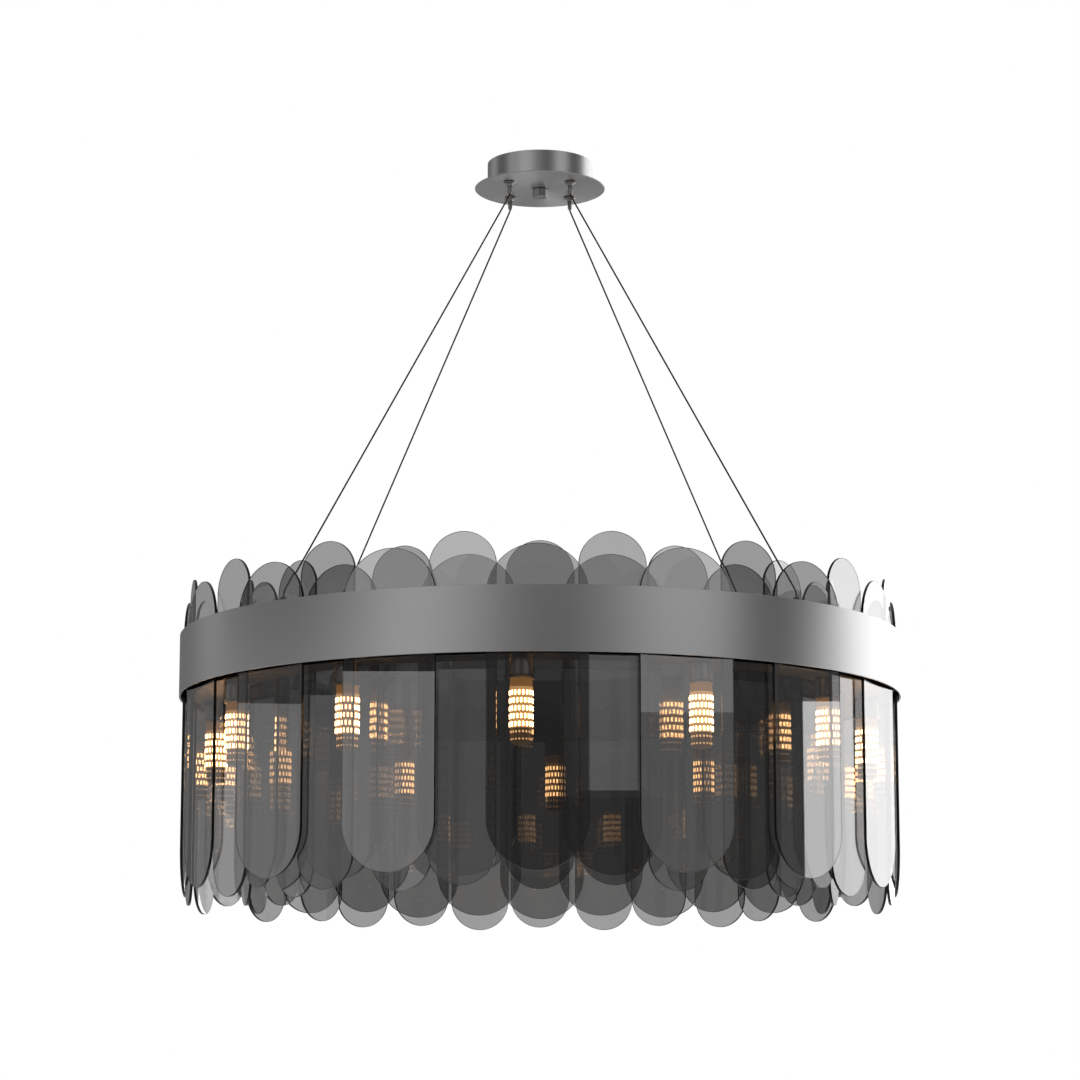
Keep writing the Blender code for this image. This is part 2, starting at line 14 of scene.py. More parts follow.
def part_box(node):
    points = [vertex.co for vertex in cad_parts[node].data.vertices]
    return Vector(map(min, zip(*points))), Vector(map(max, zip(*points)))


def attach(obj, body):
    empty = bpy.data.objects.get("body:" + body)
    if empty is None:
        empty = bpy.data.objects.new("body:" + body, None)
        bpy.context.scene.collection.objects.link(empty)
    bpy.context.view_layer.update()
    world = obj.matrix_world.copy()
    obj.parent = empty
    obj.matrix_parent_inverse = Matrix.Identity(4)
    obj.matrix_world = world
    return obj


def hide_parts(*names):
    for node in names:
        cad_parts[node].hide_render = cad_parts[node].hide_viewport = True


bl_info = {
    "name": "Smoked Glass Chandelier",
    "version": (1, 0, 0),
    "blender": (4, 5, 0),
    "location": "3D View > Sidebar > Chandelier",
    "description": "Models a round pendant chandelier over its packed frame and lights it",
    "category": "Add Mesh",
}

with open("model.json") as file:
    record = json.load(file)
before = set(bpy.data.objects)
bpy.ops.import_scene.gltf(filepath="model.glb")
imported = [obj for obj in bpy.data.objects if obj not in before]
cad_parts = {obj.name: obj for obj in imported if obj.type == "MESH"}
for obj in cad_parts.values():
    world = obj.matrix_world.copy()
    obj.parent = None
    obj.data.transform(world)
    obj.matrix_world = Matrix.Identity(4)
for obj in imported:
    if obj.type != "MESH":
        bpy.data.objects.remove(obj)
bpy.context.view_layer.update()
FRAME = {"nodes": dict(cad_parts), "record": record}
HANGING = "hanging_frame"
SIDES = ("front_right", "back_right", "back_left", "front_left")
MM = 0.001
PLAY = 0.3 * MM      # between pieces that fit on each other
WELD = 0.004 * MM    # points closer than this are one point
BAND_SIDES, CHANNEL_SIDES, CUP_SIDES, NUT_SIDES = 256, 192, 128, 64
BULB_SIDES, PANE_SIDES, FITTING_SIDES = 54, 88, 48
BEND_STEPS = 8


def node_box(name):
    low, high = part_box(name)
    return Vector(low), Vector(high)


BAND_LOW, BAND_HIGH = node_box("outer_band")
CUP_LOW, CUP_HIGH = node_box("canopy_cup")
PLATE_LOW, PLATE_HIGH = node_box("canopy_plate")
NUT_LOW, NUT_HIGH = node_box("cap_nut")
CHANNEL_HIGH = node_box("lamp_channel")[1]
COVER_LOW, COVER_HIGH = node_box("channel_cover")
LAMP_SPOTS = [Vector(joint["pos_m"]) for joint in FRAME["record"]["behaviour"]["joints"]
              if joint["name"].startswith("bulb_")]


# Settings

def setting(kind, **shared):
    """Make a function that defines settings of one kind."""
    def define(name, description, default):
        return kind(name=name, description=description, default=default, **shared)
    return define


length = setting(bpy.props.FloatProperty, min=0.0, unit="LENGTH", subtype="DISTANCE", precision=5)
angle = setting(bpy.props.FloatProperty, subtype="ANGLE")
count = setting(bpy.props.IntProperty, min=1)
amount = setting(bpy.props.FloatProperty, min=0.0, max=1.0)
number = setting(bpy.props.FloatProperty, min=0.0, max=5000.0)
colour = setting(bpy.props.FloatVectorProperty, size=3, min=0.0, max=1.0, subtype="COLOR")


class ChandelierGlass(bpy.types.PropertyGroup):
    """Sizes, places and colour of the glass panes."""
    wide_width: length("Wide pane width", "Width of the wide panes", 103 * MM)
    wide_length: length("Wide pane length", "Length of the wide panes", 328 * MM)
    narrow_width: length("Narrow pane width", "Width of the narrow panes", 70 * MM)
    narrow_length: length("Narrow pane length", "Length of the narrow panes", 356 * MM)
    thickness: length("Thickness", "Thickness of every pane", 3 * MM)
    arris: length("Arris", "Width of the ground corner round each pane", 0.4 * MM)
    below_band: length("Below band", "From the top of the band to the middle of the panes",
                       121 * MM)
    outer_count: count("Outer panes", "Panes in the outer ring", 32)
    outer_wide_radius: length("Outer wide radius", "Middle of the outer wide panes", 391 * MM)
    outer_narrow_radius: length("Outer narrow radius", "Middle of the outer narrow panes",
                                386.5 * MM)
    outer_turn: angle("Outer turn", "Turn of the outer ring", math.radians(-0.35))
    inner_count: count("Inner panes", "Panes in the inner ring", 28)
    inner_wide_radius: length("Inner wide radius", "Middle of the inner wide panes", 330.1 * MM)
    inner_narrow_radius: length("Inner narrow radius", "Middle of the inner narrow panes",
                                325.6 * MM)
    inner_turn: angle("Inner turn", "Turn of the inner ring", 0.0)
    pad_radius: length("Pad radius", "Radius of the clear pads that hold the panes", 4 * MM)
    smoke: colour("Smoke", "Colour of the smoke in the glass", (0.105, 0.10, 0.095))
    density: number("Density", "Density of the smoke in the glass", 322.0)


class ChandelierBand(bpy.types.PropertyGroup):
    """Sizes and colour of the outer band."""
    radius: length("Radius", "Outside radius", BAND_HIGH.x)
    wall: length("Wall", "Thickness of the strip", 2 * MM)
    edge: length("Edge", "Rounding of the corners", 0.4 * MM)
    metal: colour("Metal", "Colour of the satin steel", (0.40, 0.40, 0.402))
    satin: amount("Satin", "Roughness of the satin steel", 0.36)
    # The dark colour of the inner face is painted shade.
    inside: colour("Inside", "Colour of the dark inner face", (0.05, 0.045, 0.04))


class ChandelierChannel(bpy.types.PropertyGroup):
    """Sizes and colour of the lamp channel, its cover and the lamp holders."""
    width: length("Width", "Width of the channel", 45.5 * MM)
    wall: length("Wall", "Thickness of the sheet", 1.5 * MM)
    holder_radius: length("Holder radius", "Radius of the lamp holders", 13.4 * MM)
    holder_reach: length("Holder reach", "How far the holders stand below the channel", 20 * MM)
    metal: colour("Metal", "Colour of the painted steel", (0.025, 0.023, 0.021))
    ceramic: colour("Holder", "Colour of the lamp holders", (0.45, 0.42, 0.39))


class ChandelierBulbs(bpy.types.PropertyGroup):
    """Sizes and light of the LED bulbs."""
    collar_radius: length("Collar radius", "Radius of the metal collar", 13.6 * MM)
    radius: length("Radius", "Radius of the board that carries the chips", 11.8 * MM)
    length: length("Length", "From the holder down to the tip", 69 * MM)
    rows: count("Rows", "Rows of large chips", 5)
    columns: count("Columns", "Chips in each row", 18)
    first_row: length("First row", "From the holder down to the first row of chips", 17.3 * MM)
    row_pitch: length("Row pitch", "From one row of chips to the next", 7.95 * MM)
    chip_width: length("Chip width", "Width of a chip", 1.9 * MM)
    chip_height: length("Chip height", "Height of a chip", 4.6 * MM)
    light: colour("Light", "Colour of the warm light", (1.0, 0.53, 0.21))
    glow: number("Glow", "Strength of the chips", 42.0)
    tip_glow: number("Tip glow", "Strength of the small chips near the tip", 2.6)
    # The cap, neck and board are no lamps: these three strengths are painted glow.
    cap_glow: number("Cap glow", "Strength of the cap under the last large row", 0.08)
    neck_glow: number("Neck glow", "Strength of the neck above the first row", 0.45)
    board_glow: number("Board glow", "Strength of the lit board between the chips", 1.3)


class ChandelierCanopy(bpy.types.PropertyGroup):
    """Sizes and colour of the ceiling canopy."""
    wall: length("Wall", "Thickness of the cup", 1.2 * MM)
    edge: length("Edge", "Rounding of the corners", 0.5 * MM)
    metal: colour("Metal", "Colour of the brushed steel", (0.46, 0.46, 0.465))
    satin: amount("Satin", "Roughness of the brushed steel", 0.30)
    nut_metal: colour("Cap nut", "Colour of the turned cap nut", (0.30, 0.30, 0.30))


class ChandelierCables(bpy.types.PropertyGroup):
    """Sizes and colour of the cables and their grips."""
    turn: angle("Turn", "Angle of each cable from the front or the back", math.radians(46.5))
    radius: length("Radius", "Radius of a cable", 0.95 * MM)
    grip_circle: length("Grip circle", "Distance of the grips from the middle", 47.4 * MM)
    exit_run: length("Exit run", "Length of the eased bend at the grip", 1.5 * MM)
    bend_run: length("Bend run", "Length of the eased bend above the anchor", 6 * MM)
    spare: length("Spare", "Cable that stands above the grip inside the canopy", 8 * MM)
    anchor_from_lamps: length("Anchor place", "From the circle of lamps out to the anchors", 7 * MM)
    metal: colour("Wire", "Colour of the dark bronze wire", (0.035, 0.022, 0.014))
    grip_metal: colour("Grip", "Colour of the grips", (0.21, 0.20, 0.19))


class ChandelierStage(bpy.types.PropertyGroup):
    """Camera, floor and the light of the surround."""
    distance: length("Camera distance", "From the axis to the camera", 3.678)
    drop: length("Camera drop", "From the ceiling down to the camera", 1.087)
    pitch: angle("Camera pitch", "How far the camera looks up", 0.1749)
    lens: number("Lens", "Focal length in millimetres", 110.82)
    floor_size: length("Floor size", "Side of the square floor", 14.0)
    floor_drop: length("Floor drop", "From the ceiling down to the floor", 1.62)
    dark: amount("Dark", "Grey of the studio on the camera's side", 0.04)
    rear: amount("Rear", "Grey of the studio behind the object", 0.19)
    above: amount("Above", "Extra grey above the object", 0.5)
    below: amount("Below", "Extra grey below the object", 0.3)
    front_through: amount("Front through glass", "Grey of the camera's side through the glass", 0.3)


SETTINGS = {
    "chandelier_glass": ChandelierGlass,
    "chandelier_band": ChandelierBand,
    "chandelier_channel": ChandelierChannel,
    "chandelier_bulbs": ChandelierBulbs,
    "chandelier_canopy": ChandelierCanopy,
    "chandelier_cables": ChandelierCables,
    "chandelier_stage": ChandelierStage,
}


# Modelling helpers

def start_clean():
    """Leave edit mode and deselect everything."""
    if bpy.context.object and bpy.context.object.mode != "OBJECT":
        bpy.ops.object.mode_set(mode="OBJECT")
    bpy.ops.object.select_all(action="DESELECT")


def only(piece):
    start_clean()
    piece.select_set(True)
    bpy.context.view_layer.objects.active = piece


def edit(piece):
    only(piece)
    bpy.ops.object.mode_set(mode="EDIT")
    bpy.ops.mesh.select_all(action="SELECT")


def leave_edit():
    bpy.ops.object.mode_set(mode="OBJECT")


def freeze(piece):
    """Move a piece's place, turn and scale into its mesh."""
    only(piece)
    bpy.ops.object.transform_apply(location=True, rotation=True, scale=True)
    return piece


def placed(piece, matrix):
    """Put a piece in its place by moving its mesh there."""
    piece.matrix_world = matrix
    return freeze(piece)


def named(piece, name):
    piece.name = name
    piece.data.name = name
    return piece


def apply_all(piece):
    only(piece)
    for modifier in list(piece.modifiers):
        bpy.ops.object.modifier_apply(modifier=modifier.name)
    return piece


def smooth(piece, limit=35.0):
    only(piece)
    bpy.ops.object.shade_smooth_by_angle(angle=math.radians(limit))
    return piece


def round_edges(piece, width, segments, limit):
    bevel = piece.modifiers.new("round edges", "BEVEL")
    bevel.width = width
    bevel.segments = segments
    bevel.limit_method = "ANGLE"
    bevel.angle_limit = math.radians(limit)
    return apply_all(piece)


def finish_piece(piece, *materials):
    piece.data.materials.clear()
    for material in materials:
        piece.data.materials.append(material)
    return piece


def turned(name, profile, sides):
    """Model a round piece: start with a circle and extrude it along a (radius, height) profile.

    A profile that ends where it starts makes a ring, and any other one is closed by flat faces.
    """
    start_clean()
    radius, height = profile[0]
    bpy.ops.mesh.primitive_circle_add(vertices=sides, radius=radius, location=(0.0, 0.0, height))
    piece = freeze(named(bpy.context.object, name))
    edit(piece)
    for next_radius, next_height in profile[1:]:
        bpy.ops.mesh.extrude_region_move(
            TRANSFORM_OT_translate={"value": (0.0, 0.0, next_height - height)})
        if next_radius > 0.0:
            ratio = next_radius / radius
            bpy.ops.transform.resize(value=(ratio, ratio, 1.0),
                                     center_override=(0.0, 0.0, next_height))
        else:
            bpy.ops.mesh.merge(type="CENTER")
        radius, height = next_radius, next_height
    bpy.ops.mesh.select_all(action="SELECT")
    if profile[0] == profile[-1]:
        bpy.ops.mesh.remove_doubles(threshold=WELD)
    else:
        bpy.ops.mesh.fill_holes(sides=0)
    bpy.ops.mesh.normals_make_consistent(inside=False)
    leave_edit()
    return piece


def strip(outer, inner, low, high):
    """The profile of a plain ring."""
    return [(outer, high), (outer, low), (inner, low), (inner, high), (outer, high)]


def lathe(name, profile, sides, limit, material, edge=0.0, segments=2):
    """A turned piece with rounded corners, its shading and its material."""
    piece = turned(name, profile, sides)
    if edge:
        round_edges(piece, edge, segments, 50.0)
    return finish_piece(smooth(piece, limit), material)


def block(name, low, high):
    """Model a box between two corners from a cube."""
    start_clean()
    low, high = Vector(low), Vector(high)
    bpy.ops.mesh.primitive_cube_add(size=1.0, location=(low + high) / 2)
    piece = named(bpy.context.object, name)
    piece.scale = high - low
    return freeze(piece)


def copy_of(piece, name, matrix):
    """A copy with its own mesh, placed by a matrix."""
    twin = piece.copy()
    twin.data = piece.data.copy()
    bpy.context.scene.collection.objects.link(named(twin, name))
    return placed(twin, matrix)


def joined(pieces, name):
    start_clean()
    for piece in pieces:
        piece.select_set(True)
    bpy.context.view_layer.objects.active = pieces[0]
    if len(pieces) > 1:
        bpy.ops.object.join()
    return named(pieces[0], name)


def pull_apart(piece, axis, reach):
    """In edit mode, move the two halves of a mesh apart along an axis."""
    for side in (-1, 1):
        form = bmesh.from_edit_mesh(piece.data)
        for vert in form.verts:
            vert.select_set(vert.co[axis] * side > 0.01 * MM)
        form.select_flush_mode()
        bmesh.update_edit_mesh(piece.data)
        shift = Vector((0.0, 0.0, 0.0))
        shift[axis] = side * reach
        bpy.ops.transform.translate(value=shift)


def around(turn, radius, height=0.0):
    return Vector((radius * math.sin(turn), -radius * math.cos(turn), height))


def discard(piece):
    bpy.data.objects.remove(piece, do_unlink=True)


def facing_out(turn, radius, height):
    """The place at an angle round the axis, turned to face outwards."""
    return Matrix.Rotation(turn, 4, "Z") @ Matrix.Translation((0.0, -radius, height))


def carved(piece, cutter):
    """Cut one solid out of another and remove it."""
    step = piece.modifiers.new("cut", "BOOLEAN")
    step.operation = "DIFFERENCE"
    step.solver = "EXACT"
    step.object = cutter
    apply_all(piece)
    discard(cutter)
    return piece


def ride(piece, body, slot, *nodes):
    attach(piece, body)
    if nodes:
        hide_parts(*nodes)


# Materials

def new_group(name, inputs, outputs):
    tree = bpy.data.node_groups.new(name, "ShaderNodeTree")
    for label, value in inputs.items():
        socket = tree.interface.new_socket(name=label, in_out="INPUT",
                                           socket_type="NodeSocketFloat")
        socket.default_value = value
    for label in outputs:
        tree.interface.new_socket(name=label, in_out="OUTPUT", socket_type="NodeSocketFloat")
    return tree, tree.nodes.new("NodeGroupInput"), tree.nodes.new("NodeGroupOutput")


def add_node(tree, kind, values=(), **settings):
    """Add a node. A value that is an output of another node is linked, any other is set."""
    item = tree.nodes.new(kind)
    for key, value in settings.items():
        setattr(item, key, value)
    for key, value in dict(values).items():
        if isinstance(value, bpy.types.NodeSocket):
            tree.links.new(value, item.inputs[key])
        else:
            item.inputs[key].default_value = value
    return item


def arithmetic(tree, operation, first, second):
    return add_node(tree, "ShaderNodeMath", {0: first, 1: second}, operation=operation).outputs[0]


def split(tree, vector):
    """The X, Y and Z of a vector."""
    parts = add_node(tree, "ShaderNodeSeparateXYZ", {0: vector}).outputs
    return parts["X"], parts["Y"], parts["Z"]


def noise(tree, values):
    """Noise over the object's own coordinates."""
    place = add_node(tree, "ShaderNodeTexCoord")
    return add_node(tree, "ShaderNodeTexNoise",
                    {"Vector": place.outputs["Object"], **values}).outputs["Fac"]


def blend(tree, share, low, high):
    """A colour between two others."""
    return add_node(tree, "ShaderNodeMix", {0: share, 6: (*low, 1.0), 7: (*high, 1.0)},
                    data_type="RGBA").outputs[2]


def shaded(base, factor):
    return [min(1.0, part * factor) for part in base]


def turned_grain_group():
    """Fine lines left by brushing a round piece as it turns: they run round the Z axis."""
    tree, given, result = new_group(
        "Turned grain", {"Lines per metre": 1500.0, "Low": 0.25, "High": 0.4},
        ("Grain", "Roughness"))
    x, y, z = split(tree, add_node(tree, "ShaderNodeTexCoord").outputs["Object"])
    density = given.outputs["Lines per metre"]
    flat = add_node(tree, "ShaderNodeCombineXYZ", {"X": x, "Y": y})
    reach = add_node(tree, "ShaderNodeVectorMath", {0: flat.outputs[0]}, operation="LENGTH")
    bearing = arithmetic(tree, "ARCTAN2", x, y)
    line = add_node(tree, "ShaderNodeCombineXYZ", {
        "X": arithmetic(tree, "MULTIPLY", reach.outputs["Value"], density),
        "Y": arithmetic(tree, "MULTIPLY", bearing, 2.0),
        "Z": arithmetic(tree, "MULTIPLY", z, density)})
    grain = add_node(tree, "ShaderNodeTexNoise", {"Vector": line.outputs[0], "Scale": 1.0,
                                                  "Detail": 3.0, "Roughness": 0.6}).outputs["Fac"]
    spread = add_node(tree, "ShaderNodeMapRange", {"Value": grain, "To Min": given.outputs["Low"],
                                                   "To Max": given.outputs["High"]})
    tree.links.new(grain, result.inputs["Grain"])
    tree.links.new(spread.outputs["Result"], result.inputs["Roughness"])
    return tree


def handling_group():
    """Faint clouds of handling marks that dull a polished or painted surface a little."""
    tree, given, result = new_group(
        "Handling marks", {"Scale": 40.0, "Clean": 0.3, "Dull": 0.36}, ("Mask", "Roughness"))
    mask = noise(tree, {"Scale": given.outputs["Scale"], "Detail": 4.0, "Roughness": 0.55})
    spread = add_node(tree, "ShaderNodeMapRange", {
        "Value": mask, "From Min": 0.35, "From Max": 0.7,
        "To Min": given.outputs["Clean"], "To Max": given.outputs["Dull"]})
    tree.links.new(mask, result.inputs["Mask"])
    tree.links.new(spread.outputs["Result"], result.inputs["Roughness"])
    return tree


GROUPS = {}


def place_group(tree, maker, values):
    """Add a shared node group, which is built the first time it is asked for."""
    if maker not in GROUPS:
        GROUPS[maker] = maker()
    return add_node(tree, "ShaderNodeGroup", values, node_tree=GROUPS[maker])


def plain_material(name, base, roughness, metallic=0.0, **more):
    """A plain material. Further inputs are given with _ for each space."""
    material = bpy.data.materials.new(name)
    material.use_nodes = True
    shader = material.node_tree.nodes["Principled BSDF"]
    shader.inputs["Base Color"].default_value = (*base, 1.0)
    shader.inputs["Roughness"].default_value = roughness
    shader.inputs["Metallic"].default_value = metallic
    for key, value in more.items():
        shader.inputs[key.replace("_", " ")].default_value = value
    return material, material.node_tree, shader


def add_bump(tree, shader, height, distance, strength=0.5):
    bump = add_node(tree, "ShaderNodeBump",
                    {"Strength": strength, "Distance": distance, "Height": height})
    tree.links.new(bump.outputs["Normal"], shader.inputs["Normal"])


def add_marks(tree, shader, scale, clean, dull):
    marks = place_group(tree, handling_group, {"Scale": scale, "Clean": clean, "Dull": dull})
    tree.links.new(marks.outputs["Roughness"], shader.inputs["Roughness"])


def brushed_metal(name, base, low, high, shade, lines=2600.0, depth=0.02 * MM, grainy=0.0):
    """Metal brushed on a lathe: fine lines round the axis in colour, gloss and relief."""
    material, tree, shader = plain_material(name, base, (low + high) / 2, 1.0, Anisotropic=grainy)
    grain = place_group(tree, turned_grain_group,
                        {"Lines per metre": lines, "Low": low, "High": high})
    tint = blend(tree, grain.outputs["Grain"], shaded(base, 1.0 - shade), shaded(base, 1.0 + shade))
    tree.links.new(tint, shader.inputs["Base Color"])
    tree.links.new(grain.outputs["Roughness"], shader.inputs["Roughness"])
    add_bump(tree, shader, grain.outputs["Grain"], depth)
    if grainy:
        tangent = add_node(tree, "ShaderNodeTangent", direction_type="RADIAL", axis="Z")
        tree.links.new(tangent.outputs[0], shader.inputs["Tangent"])
    return material


def painted_metal(name, base, low, high, metallic=0.6, scale=60.0):
    """Paint or lacquer over metal, with a fine orange-peel and faint handling marks."""
    material, tree, shader = plain_material(name, base, low, metallic)
    add_marks(tree, shader, scale, low, high)
    add_bump(tree, shader, noise(tree, {"Scale": 1400.0, "Detail": 2.0}), 0.01 * MM, 0.3)
    return material


def smoked_glass(settings):
    """Grey glass, darkened through its whole depth, so that it is nearly black seen edge-on."""
    material, tree, shader = plain_material("smoked_glass", (1.0, 1.0, 1.0), 0.0,
                                            Transmission_Weight=1.0, IOR=2.0)
    clouds = noise(tree, {"Scale": 9.0, "Detail": 1.0})
    tint = blend(tree, clouds, (0.97, 0.97, 0.97), (1.0, 1.0, 1.0))
    tree.links.new(tint, shader.inputs["Base Color"])
    smoke = add_node(tree, "ShaderNodeVolumeAbsorption",
                     {"Color": (*settings.smoke, 1.0), "Density": settings.density})
    tree.links.new(smoke.outputs[0], tree.nodes["Material Output"].inputs["Volume"])
    return material


def dark_edge():
    """The polished side of a pane, where smoked glass is too deep to see through."""
    material, tree, shader = plain_material("dark_glass_edge", (0.008, 0.007, 0.006), 0.16,
                                            Specular_IOR_Level=0.2)
    add_marks(tree, shader, 300.0, 0.12, 0.24)
    return material


def clear_pad():
    material, tree, shader = plain_material("clear_pad", (0.92, 0.92, 0.92), 0.12,
                                            Transmission_Weight=1.0, IOR=1.42)
    add_marks(tree, shader, 500.0, 0.08, 0.2)
    return material


def glowing(name, light, strength, base):
    """A glowing surface that is a little uneven, as phosphor is: the chips, which are the lamps,
    and the painted glow of the bulb's neck, board and cap.
    """
    material, tree, shader = plain_material(name, base, 0.4, Emission_Strength=strength)
    clouds = noise(tree, {"Scale": 900.0, "Detail": 1.0})
    tree.links.new(blend(tree, clouds, shaded(light, 0.85), light), shader.inputs["Emission Color"])
    return material


def stranded_wire(settings):
    """Fine wire rope: the strands wind round the cable along its own UV map."""
    base = tuple(settings.metal)
    material, tree, shader = plain_material("stranded_wire", base, 0.45, 0.7)
    winding = add_node(tree, "ShaderNodeUVMap", uv_map="along")
    bearing, travel, _ = split(tree, winding.outputs["UV"])
    climb = arithmetic(tree, "MULTIPLY", travel, 330.0)
    wind = arithmetic(tree, "MULTIPLY", bearing, 6.0)
    wave = arithmetic(tree, "PINGPONG", arithmetic(tree, "ADD", climb, wind), 1.0)
    # The colour runs from dark in the grooves between the strands to light on their crowns: painted
    # shade and painted highlight.
    tint = blend(tree, wave, shaded(base, 0.45), shaded(base, 1.3))
    tree.links.new(tint, shader.inputs["Base Color"])
    add_bump(tree, shader, wave, 0.12 * MM, 0.6)
    return material


# Operators, one for each group of pieces and one for the stage

class CHANDELIER_OT_band(bpy.types.Operator):
    """Model the plain steel band round the glass"""
    bl_idname = "chandelier.band"
    bl_label = "Outer Band"

    def execute(self, context):
        band = context.scene.chandelier_band
        metal = brushed_metal("satin_steel", tuple(band.metal), band.satin - 0.02,
                              band.satin + 0.03, 0.03, lines=900.0, depth=0.004 * MM)
        profile = strip(band.radius, band.radius - band.wall, BAND_LOW.z, BAND_HIGH.z)
        piece = lathe("steel_band", profile, BAND_SIDES, 8.0, metal, band.edge, 3)
        # The inner face gets a near-black colour that stands in for the shade inside the band, so
        # the glass shows it as a dark line: painted shade.
        piece.data.materials.append(
            painted_metal("band_inside_painted_shade", tuple(band.inside), 0.35, 0.5, 0.6))
        for face in piece.data.polygons:
            outwards = Vector((face.center.x, face.center.y, 0.0)).normalized()
            face.material_index = int(face.normal.dot(outwards) < -0.9)
        ride(piece, HANGING, "band_steel", "outer_band")
        return {"FINISHED"}


class CHANDELIER_OT_channel(bpy.types.Operator):
    """Model the lamp channel, its cover and the twelve lamp holders"""
    bl_idname = "chandelier.channel"
    bl_label = "Lamp Channel"

    def execute(self, context):
        channel = context.scene.chandelier_channel
        outer = CHANNEL_HIGH.x
        inner = outer - channel.width
        floor = BAND_LOW.z
        wall = channel.wall
        top = COVER_LOW.z - PLAY
        paint = painted_metal("dark_bronze_paint", tuple(channel.metal), 0.4, 0.5, 0.5)
        body = lathe("lamp_channel_shell",
                     [(outer, top), (outer, floor), (inner, floor), (inner, top),
                      (inner + wall, top), (inner + wall, floor + wall),
                      (outer - wall, floor + wall), (outer - wall, top), (outer, top)],
                     CHANNEL_SIDES, 15.0, paint, 0.5 * MM)
        lid = lathe("channel_lid", strip(outer, inner, COVER_LOW.z, COVER_HIGH.z),
                    CHANNEL_SIDES, 15.0, paint, 0.4 * MM)
        ride(body, HANGING, "dark_steel", "lamp_channel")
        ride(lid, HANGING, "dark_steel", "channel_cover")
        self.add_holders(channel, floor)
        return {"FINISHED"}

    def add_holders(self, channel, floor):
        radius = channel.holder_radius
        low = floor - channel.holder_reach + 0.1 * MM
        nickel = painted_metal("holder_nickel", tuple(channel.ceramic), 0.12, 0.22, 1.0)
        holder = lathe("lamp_holder",
                       [(radius - 0.6 * MM, floor - 0.1 * MM), (radius, floor - 0.6 * MM),
                        (radius, low + 1.0 * MM), (radius + 0.3 * MM, low + 0.7 * MM),
                        (radius + 0.3 * MM, low), (7.6 * MM, low), (7.6 * MM, low + 6 * MM)],
                       FITTING_SIDES, 40.0, nickel)
        for number, spot in enumerate(LAMP_SPOTS, start=1):
            place = Matrix.Translation((spot.x, spot.y, 0.0))
            ride(copy_of(holder, "lamp_holder_%02d" % number, place), HANGING, "dark_steel")
        discard(holder)


